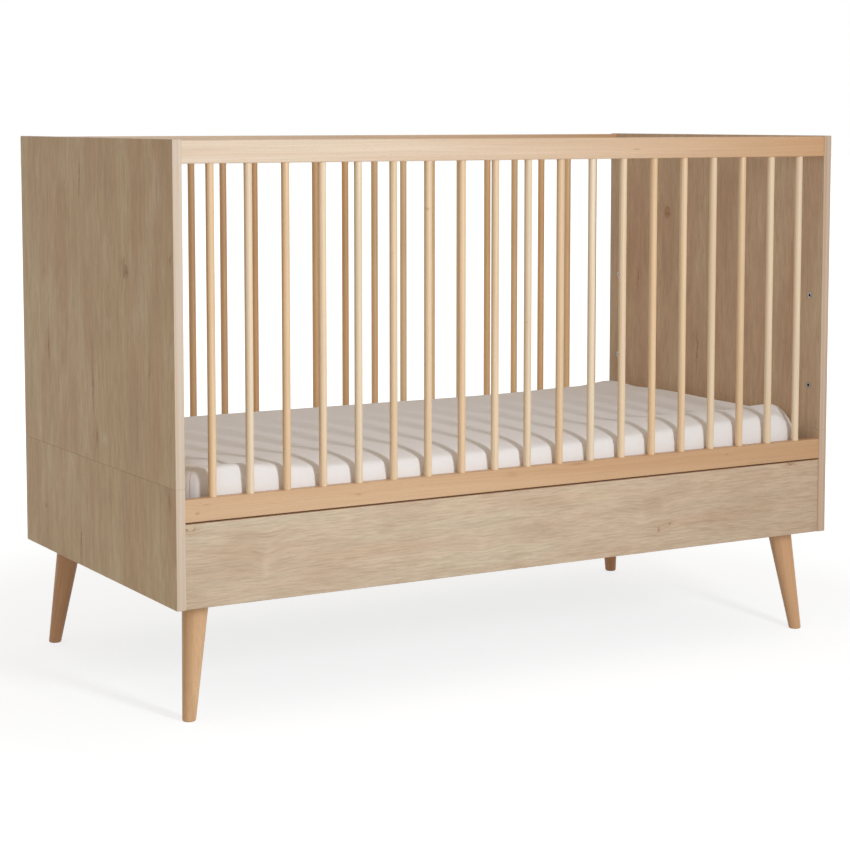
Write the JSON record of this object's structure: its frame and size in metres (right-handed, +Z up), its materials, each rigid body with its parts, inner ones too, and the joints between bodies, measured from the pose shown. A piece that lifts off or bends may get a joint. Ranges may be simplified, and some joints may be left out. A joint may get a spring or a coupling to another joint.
{
  "type": "baby cot",
  "caption": "Baby cot with plain oak-effect board ends, slatted beech sides on plinth boards, splayed turned legs, and a mattress on a height-adjustable slatted base.",
  "frame": {"origin": "on the floor, under the middle of the cot", "axes": "+X along the cot's length to the right as seen from the front, +Y from front to back, +Z up"},
  "size_m": [1.444, 0.744, 1.016],
  "materials": {
    "oak_board": "oak-effect faced board, matt",
    "beech": "solid beech, clear satin lacquer",
    "base_wood": "planed softwood, untreated",
    "block_wood": "sawn beech, untreated",
    "plate_steel": "zinc plated",
    "pin_steel": "zinc plated",
    "insert_steel": "zinc plated",
    "bolt_steel": "zinc plated",
    "sheet": "woven cotton fitted sheet"
  },
  "bodies": {
    "frame": {"front_left_leg": "beech", "front_right_leg": "beech", "rear_left_leg": "beech", "rear_right_leg": "beech", "leg_plates": "plate_steel", "corner_blocks": "block_wood", "left_lower_panel": "oak_board", "left_upper_panel": "oak_board", "right_lower_panel": "oak_board", "right_upper_panel": "oak_board", "front_plinth": "oak_board", "rear_plinth": "oak_board", "front_bottom_rail": "beech", "front_top_rail": "beech", "rear_bottom_rail": "beech", "rear_top_rail": "beech", "front_spindle_01": "beech", "front_spindle_02": "beech", "front_spindle_03": "beech", "front_spindle_04": "beech", "front_spindle_05": "beech", "front_spindle_06": "beech", "front_spindle_07": "beech", "front_spindle_08": "beech", "front_spindle_09": "beech", "front_spindle_10": "beech", "front_spindle_11": "beech", "front_spindle_12": "beech", "front_spindle_13": "beech", "front_spindle_14": "beech", "front_spindle_15": "beech", "front_spindle_16": "beech", "front_spindle_17": "beech", "front_spindle_18": "beech", "front_spindle_19": "beech", "rear_spindle_01": "beech", "rear_spindle_02": "beech", "rear_spindle_03": "beech", "rear_spindle_04": "beech", "rear_spindle_05": "beech", "rear_spindle_06": "beech", "rear_spindle_07": "beech", "rear_spindle_08": "beech", "rear_spindle_09": "beech", "rear_spindle_10": "beech", "rear_spindle_11": "beech", "rear_spindle_12": "beech", "rear_spindle_13": "beech", "rear_spindle_14": "beech", "rear_spindle_15": "beech", "rear_spindle_16": "beech", "rear_spindle_17": "beech", "rear_spindle_18": "beech", "rear_spindle_19": "beech", "connector_pins": "pin_steel", "threaded_inserts": "insert_steel", "support_bolts": "bolt_steel"},
    "mattress_base": {"base_rails": "base_wood", "base_slats": "base_wood"},
    "mattress": {"mattress": "sheet"}
  },
  "joints": [
    {"name": "base_height", "type": "slide", "parent": "frame", "child": "mattress_base", "axis": [0, 0, 1], "range_m": [0, 0.37]},
    {"name": "mattress_lift", "type": "slide", "parent": "mattress_base", "child": "mattress", "axis": [0, 0, 1], "range_m": [0, 0.7]}
  ]
}
